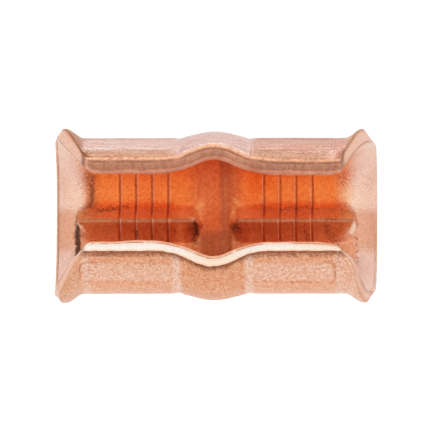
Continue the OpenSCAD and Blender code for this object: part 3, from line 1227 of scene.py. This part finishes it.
def pressedCopper():
    material, tree, shader, where = newMaterial("pressedCopper")

    def mark(name):
        return attribute(tree, name)

    def level(name, value):
        return remap(tree, value, *skin["levels"][name])

    texture = useGroup(tree, grain, {"Vector": where, "Grain Scale": skin["grainScale"]})
    stainedAndShaded = calc(tree, "MULTIPLY_ADD", mark("bore"), skin["boreStain"], mark("stainAndShade"))
    # inside
    inside = skin["bore"]
    for name, share in skin["inside"].items():
        inside = paint(tree, inside, skin, name, share)
    drag = level("drag", noiseValue(tree, stretched(tree, where, skin["dragRun"]), "drag"))
    inside = mottled(tree, inside, skin, "drag", drag, level("dragged", mark("belly")))
    haze = level("haze", noiseValue(tree, where, "haze"))
    inside = mixColor(tree, haze, inside, skin["haze"], "MULTIPLY")
    # painted highlights at the ridges' ends
    inside = paint(tree, inside, skin, "gleam", 1.0)
    # outside, and the flares
    color = skin["wall"]
    for name, share in skin["outside"].items():
        color = paint(tree, color, skin, name, share)
    back = mark("back")
    # outsides of the flares, painted darker on the far side as in shade
    outFlare = mixColor(tree, mark("right"), skin["outFlare"], skin["outFlareRight"])
    outFlareBackShade = mixColor(tree, mark("right"), skin["outFlareBackShade"], skin["outFlareBackRightShade"])
    color = mixColor(tree, mark("outFlare"), color, mixColor(tree, back, outFlare, outFlareBackShade))
    color = mixColor(tree, mark("bore"), color, inside)
    for name, share in skin["over"].items():
        color = paint(tree, color, skin, name, share)
    # rims and panels
    rimEdge = product(tree, level("rimEdge", mark("rimGap")), mark("rimBand"))
    color = mixColor(tree, rimEdge, color, skin["rimEdge"])
    rimLine = product(tree, stripe(tree, mark("rimGap"), *skin["rimStripe"]), mark("rimBand"))
    rimLine = product(tree, rimLine, level("rimBroken", texture["Patches"]), skin["rimShare"])
    color = mixColor(tree, rimLine, color, skin["rimLine"])
    inPanel = level("inPanel", mark("outline"))
    color = mixColor(tree, product(tree, inPanel, level("panelBack", back)), color, skin["panel"])
    drawn = product(tree, stripe(tree, mark("outline"), *skin["panelStripe"]), mark("outlineShow"))
    drawn = product(tree, drawn, level("lineBroken", texture["Patches"]))
    color = mixColor(tree, drawn, color, skin["panelLine"])
    # grain over all of it
    quiet = largest(tree, mark("bore"), mark("flare"), back)
    color = mottled(tree, color, skin, "shade", level("shade", texture["Mottle"]), level("shaded", quiet))
    sand = level("sand", noiseValue(tree, where, "sand"))
    sanded = calc(tree, "MULTIPLY_ADD", mark("bore"), skin["boreSand"], level("sanded", quiet))
    color = mottled(tree, color, skin, "sand", sand, sanded)
    streak = level("streak", noiseValue(tree, stretched(tree, where, skin["streakRun"]), "streak"))
    color = mottled(tree, color, skin, "streak", streak, back)
    dull = product(tree, mark("flare"), skin["flareDull"])
    dull = largest(tree, dull, mark("bore"), mark("edgeShade"), mark("backTopShade"))
    glints = product(tree, level("glint", texture["Grain"]), calc(tree, "SUBTRACT", 1.0, dull))
    color = mixColor(tree, glints, color, skin["glint"])
    freckles = product(tree, level("freckle", texture["Mottle"]), mark("flare"))
    color = mixColor(tree, freckles, color, skin["flareSpeck"])
    stainAndShade = useGroup(tree, tarnishAndShade, {"Vector": where, "Amount": stainedAndShaded})["Specks"]
    color = mixColor(tree, stainAndShade, color, skin["stainAndShade"])
    rough = level("roughness", texture["Grain"])
    metallic = product(tree, level("gleamMetallic", mark("gleam")), level("paleMetallic", mark("pale")))
    dents = noiseValue(tree, stretched(tree, where, skin["dentRun"]), "dent")
    dents = bumped(tree, product(tree, dents, inPanel), skin["pressedDepth"])
    fillSockets(tree, shader, {
        "Base Color": color,
        "Roughness": calc(tree, "MULTIPLY_ADD", mark("bore"), skin["boreRough"], rough),
        "Metallic": product(tree, metallic, level("noseMetallic", mark("nose"))),
        "Normal": bumped(tree, texture["Grain"], skin["grainDepth"], Normal=dents),
    })
    return material


cut = {
    # the far lip is painted dark, as in shade, and the near one pale, as if lit, over tarnished and freshly
    # cut metal
    "tarnishedAndShaded": (0.55, 0.262, 0.172, 1),
    "innerStrip": (0.83, 0.455, 0.315, 1),   # along the far lip's inner corner
    "freshAndLit": (1.0, 0.88, 0.79, 1),
    "freshWarm": (1.0, 0.60, 0.41, 1),
    "freshGrain": (0.97, 0.64, 0.47, 1),
    "clip": (0.90, 0.52, 0.40, 1),           # the clipped corners at the ends
    "clipLow": (0.68, 0.33, 0.20, 1),
    "ribbon": (0.50, 0.27, 0.19, 1),
    # painted shade in the grooves beside the burrs, in pits of the burrs, at the lips' ends and along the
    # clips' inner edges
    "groove": (0.28, 0.12, 0.07, 1),
    # painted highlight along the far lip's burr
    "burr": (1.0, 0.39, 0.215, 1),
    "nearBurr": (0.88, 0.38, 0.22, 1),
    "wornDark": (0.84, 0.76, 0.70, 1),
    "shearDark": (0.80, 0.74, 0.70, 1),
    "levels": {
        "broken": (0.5, 0.66, 0.1, 1.0),
        "shear": (0.35, 0.6, 1.0, 0.0),
        "innerStrip": (1.12, 1.24, 0.0, 0.9),
        "warm": (0.3, 0.6, 0.5, 1.0),
        "freshGrain": (0.42, 0.66, 0.0, 0.75),
        "clipWidth": (0.0, 1.0, 0.5, 0.9),
        "worn": (0.35, 0.7, 0.0, 1.0),
        "pit": (0.5, 0.36, 0.0, 0.8),
        "roughness": (0.3, 0.7, 0.42, 0.6),
        "metallic": (0.0, 1.0, 1.0, 0.05),
    },
    # height above the outer face and reach, in mm
    "stripes": {
        "burr": (0.1, 0.27),
        "outerEdge": (0.08, 0.36),
        "innerEdge": (1.5, 0.3),
        "farGroove": (0.44, 0.12),
        "nearGroove": (1.2, 0.1),
        "clipEdge": (1.5, 0.17),
        "ribbon": (1.25, 0.42),
    },
    "clipFoot": 0.2,                         # where a clip is darkest, above the outer face
    # how much mottling and patches move the torn lines
    "mottleShift": 0.3,
    "patchShift": 0.5,
    "middleShift": 0.4,
    "shearRun": (2600.0, 0.9),
    "outerShare": 0.7,
    "grooveShare": 0.9,
    "cornerShare": 3.0,
    "clipShare": 0.6,
    "ribbonShare": 0.6,
    "stainShare": 0.6,
    "leastStain": 0.1,
    "burrPolish": -0.15,                     # burrs are smoother
    "burrBare": 0.5,
    "grainScale": 5200.0,
    "grainDepth": 0.03 * mm,
}


def shearedCopper():
    material, tree, shader, where = newMaterial("shearedCopper")

    def level(name, value):
        return remap(tree, value, *cut["levels"][name])

    def band(name, value):
        return stripe(tree, value, *cut["stripes"][name])

    def plus(value, share, base):
        return calc(tree, "MULTIPLY_ADD", value, share, base)

    texture = useGroup(tree, grain, {"Vector": where, "Grain Scale": cut["grainScale"]})
    mottle = texture["Mottle"]
    patches = texture["Patches"]
    height, clip, freshAndLit, right = (attribute(tree, name) for name in ("height", "clip", "freshAndLit", "right"))
    onLip = calc(tree, "SUBTRACT", 1.0, clip)
    near = product(tree, freshAndLit, onLip)
    far = product(tree, calc(tree, "SUBTRACT", 1.0, freshAndLit), onLip)
    broken = level("broken", plus(mottle, cut["mottleShift"], patches))
    ragged = calc(tree, "SUBTRACT", plus(patches, cut["patchShift"], height), cut["middleShift"])
    ragged = plus(mottle, cut["mottleShift"], ragged)
    # shear marks through the far lip
    along = place(tree, "SeparateXYZ", {0: where}).outputs["X"]
    across, through = cut["shearRun"]
    sockets = {0: product(tree, along, across), 1: product(tree, height, through)}
    pulled = place(tree, "CombineXYZ", sockets).outputs[0]
    shear = level("shear", noiseValue(tree, pulled, "shear"))
    # the far lip painted dark as in shade, the near lip pale as if lit
    farFace = mixColor(tree, shear, cut["tarnishedAndShaded"], cut["shearDark"], "MULTIPLY")
    farFace = mixColor(tree, level("innerStrip", ragged), farFace, cut["innerStrip"])
    warm = product(tree, attribute(tree, "warm"), level("warm", patches))
    nearFace = mixColor(tree, warm, cut["freshAndLit"], cut["freshWarm"])
    nearFace = mixColor(tree, level("freshGrain", texture["Grain"]), nearFace, cut["freshGrain"])
    color = mixColor(tree, freshAndLit, farFace, nearFace)
    outerHalf = remap(tree, height, level("clipWidth", freshAndLit), cut["clipFoot"], 0.0, 1.0)
    color = mixColor(tree, clip, color, mixColor(tree, outerHalf, cut["clip"], cut["clipLow"]))
    color = mixColor(tree, level("worn", mottle), color, cut["wornDark"], "MULTIPLY")
    # burrs with a painted highlight, and painted shade in the grooves, at the lips' ends and along the
    # clips' inner edges
    burr = product(tree, band("burr", ragged), far)
    color = mixColor(tree, product(tree, burr, broken), color, cut["burr"])
    edges = plus(band("outerEdge", ragged), cut["outerShare"], band("innerEdge", ragged))
    color = mixColor(tree, product(tree, edges, near), color, cut["nearBurr"])
    color = mixColor(tree, product(tree, burr, level("pit", mottle)), color, cut["groove"])
    grooves = plus(band("nearGroove", height), near, product(tree, band("farGroove", height), far))
    corner = product(tree, onLip, clip, cut["cornerShare"])
    grooves = plus(product(tree, grooves, broken), cut["grooveShare"], corner)
    clipEdge = product(tree, band("clipEdge", height), clip, largest(tree, right, freshAndLit), broken)
    color = mixColor(tree, plus(clipEdge, cut["clipShare"], grooves), color, cut["groove"])
    # the ribbon at the near +X corner is darker along its inner edge
    ribbon = product(tree, right, freshAndLit, clip, band("ribbon", ragged), cut["ribbonShare"])
    color = mixColor(tree, ribbon, color, cut["ribbon"])
    stainedAndShaded = largest(tree, attribute(tree, "stainAndShade"), cut["leastStain"])
    stainAndShade = useGroup(tree, tarnishAndShade, {"Vector": where, "Amount": stainedAndShaded})["Specks"]
    color = mixColor(tree, product(tree, stainAndShade, cut["stainShare"]), color, skin["stainAndShade"])
    fillSockets(tree, shader, {
        "Base Color": color,
        "Roughness": plus(burr, cut["burrPolish"], level("roughness", texture["Grain"])),
        "Metallic": level("metallic", largest(tree, near, product(tree, burr, cut["burrBare"]))),
        "Normal": bumped(tree, texture["Grain"], cut["grainDepth"]),
    })
    return material


# studio
view = {
    "tilt": 12 * deg,                # from straight down, towards -Y
    "yaw": 2.1 * deg,                # towards +X
    "roll": 0.37 * deg,
    "distance": 1.4,
    "sensor": 36,
    "clip": 0.01,
    "pixels": 430,
    "pixelsPerMm": 10.77,
    "centre": (214.6, 215.75),       # pixel on which the middle of the lobes falls
}


def addCamera():
    data = bpy.data.cameras.new("camera")
    camera = bpy.data.objects.new("camera", data)
    bpy.context.scene.collection.objects.link(camera)
    away = Vector((math.sin(view["yaw"]), -math.sin(view["tilt"]), math.cos(view["tilt"]))).normalized()
    right = Vector((0, 1, 0)).cross(away).normalized()
    up = away.cross(right)
    turn = Matrix.Rotation(view["roll"], 3, away)
    right = turn @ right
    up = turn @ up
    pixel = mm / view["pixelsPerMm"]
    half = view["pixels"] / 2
    target = Vector((0, 0, lobeZ))
    target -= right * (view["centre"][0] - half) * pixel
    target += up * (view["centre"][1] - half) * pixel
    spot = target + away * view["distance"]
    camera.matrix_world = Matrix((
        (right.x, up.x, away.x, spot.x),
        (right.y, up.y, away.y, spot.y),
        (right.z, up.z, away.z, spot.z),
        (0, 0, 0, 1),
    ))
    data.sensor_width = view["sensor"]
    data.lens = data.sensor_width * view["distance"] / (view["pixels"] * pixel)
    data.clip_start = view["clip"]
    bpy.context.scene.camera = camera
    print("camera placed")


studio = {
    "surround": (1.0, 1.0, 1.0),
    # softboxes: compass direction from +Y towards +X or -X alike, elevation, reach in degrees, power
    "softboxes": [
        (0, 88, 26, 0.75),
        (0, 68, 24, 1.35),
        (0, 48, 22, 2.6),
        (0, 28, 20, 4),
        (0, 12, 18, 3),
        (180, 78, 24, 0.7),
        (180, 60, 24, 0.75),
        (180, 22, 26, 0.5),
        (180, 2, 24, 1.4),
        (90, 60, 44, 0.65),
        (60, 26, 38, 0.9),
        (95, 24, 38, 0.75),
        (130, 26, 38, 1.15),
        (135, 55, 32, 0.6),
    ],
    "floorSize": 2,
    "floorRough": 0.9,
    "floorLight": 1.15,              # what the object sees of the floor
    "floorGlow": 2.0,                # what the camera sees of it
    "curve": ((0.3, 0.5), (0.5, 0.76), (0.75, 0.93)),
    "white": 1.6,
    "bounces": 16,
    "glossyBounces": 14,
}


def addFloor():
    bpy.ops.object.select_all(action="DESELECT")
    bpy.ops.mesh.primitive_plane_add(size=studio["floorSize"])
    floor = bpy.context.object
    floor.name = "floor"
    material = bpy.data.materials.new("floorWhite")
    material.use_nodes = True
    tree = material.node_tree
    shader = tree.nodes["Principled BSDF"]
    seen = place(tree, "LightPath").outputs["Is Camera Ray"]
    fillSockets(tree, shader, {
        "Base Color": (0, 0, 0, 1),
        "Specular IOR Level": 0,
        "Roughness": studio["floorRough"],
        "Emission Color": (1, 1, 1, 1),
        "Emission Strength": remap(tree, seen, 0.0, 1.0, studio["floorLight"], studio["floorGlow"]),
    })
    floor.data.materials.append(material)


# the softboxes are painted on the world, the same on both sides of the connector
def lightStudio():
    world = bpy.data.worlds.new("studio")
    world.use_nodes = True
    tree = world.node_tree
    toward = place(tree, "SeparateXYZ", {0: place(tree, "TexCoord").outputs["Generated"]}).outputs
    sideways = calc(tree, "ABSOLUTE", toward["X"])
    mirrored = place(tree, "CombineXYZ", {0: sideways, 1: toward["Y"], 2: toward["Z"]})
    total = 0.0
    for compass, elevation, reach, power in studio["softboxes"]:
        turn = math.radians(compass)
        rise = math.radians(elevation)
        aim = (math.sin(turn) * math.cos(rise), math.cos(turn) * math.cos(rise), math.sin(rise))
        facing = place(tree, "VectorMath", {0: mirrored.outputs[0], 1: aim}, operation="DOT_PRODUCT")
        lit = remap(tree, facing.outputs["Value"], math.cos(math.radians(reach)), 1.0, 0.0, power)
        total = calc(tree, "ADD", lit, total)
    background = tree.nodes["Background"]
    background.inputs["Color"].default_value = (*studio["surround"], 1)
    tree.links.new(total, background.inputs["Strength"])
    scene = bpy.context.scene
    scene.world = world
    scene.cycles.max_bounces = studio["bounces"]
    scene.cycles.glossy_bounces = studio["glossyBounces"]
    # film curve, with a soft shoulder
    settings = scene.view_settings
    settings.view_transform = "Standard"
    settings.use_curve_mapping = True
    mapping = settings.curve_mapping
    mapping.white_level = (studio["white"],) * 3
    for point in studio["curve"]:
        mapping.curves[3].points.new(*point)
    mapping.update()
    print("studio lit")


addCamera()
makeConnector()
addFloor()
lightStudio()
